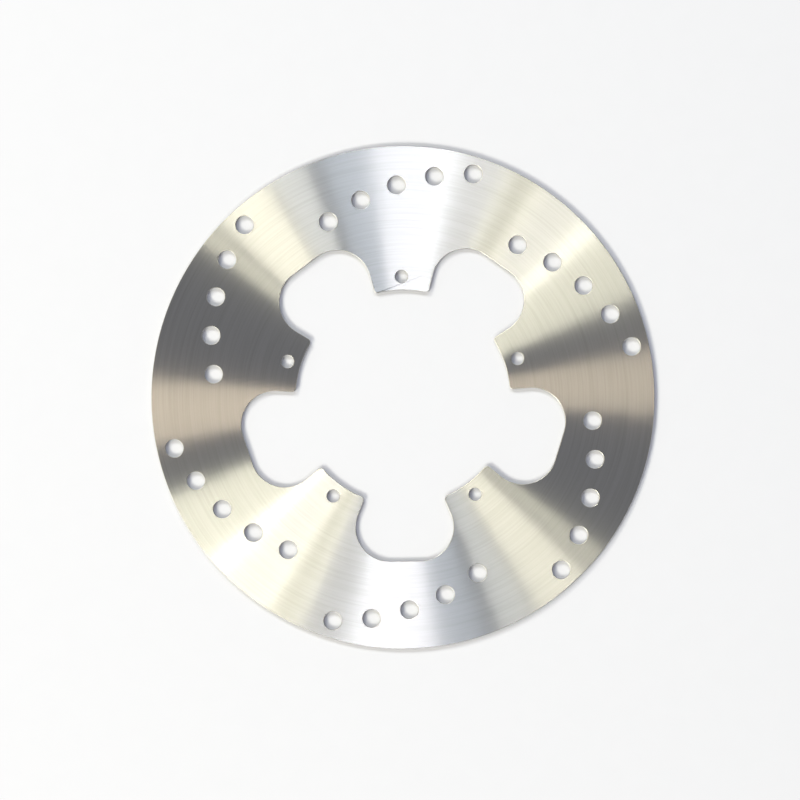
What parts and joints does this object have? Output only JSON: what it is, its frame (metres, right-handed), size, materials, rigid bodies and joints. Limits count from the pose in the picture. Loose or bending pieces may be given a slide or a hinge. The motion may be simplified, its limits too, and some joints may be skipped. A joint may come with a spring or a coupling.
{
  "type": "brake disc rotor",
  "caption": "One-piece, rigid-mount motorcycle brake disc: flat ground steel ring, cross-drilled in curved rows, with inward bolt tabs between rounded pockets.",
  "frame": {"origin": "middle of the hub-side face, on the disc's axis", "axes": "+Z along the disc's axis, from the hub-side face to the outer face; +Y through the first mounting tab and its bolt hole"},
  "size_m": [0.26, 0.26, 0.004],
  "materials": {
    "ground_stainless": "rotary ground"
  },
  "bodies": {
    "root": {"brake_disc": "ground_stainless"}
  },
  "joints": []
}
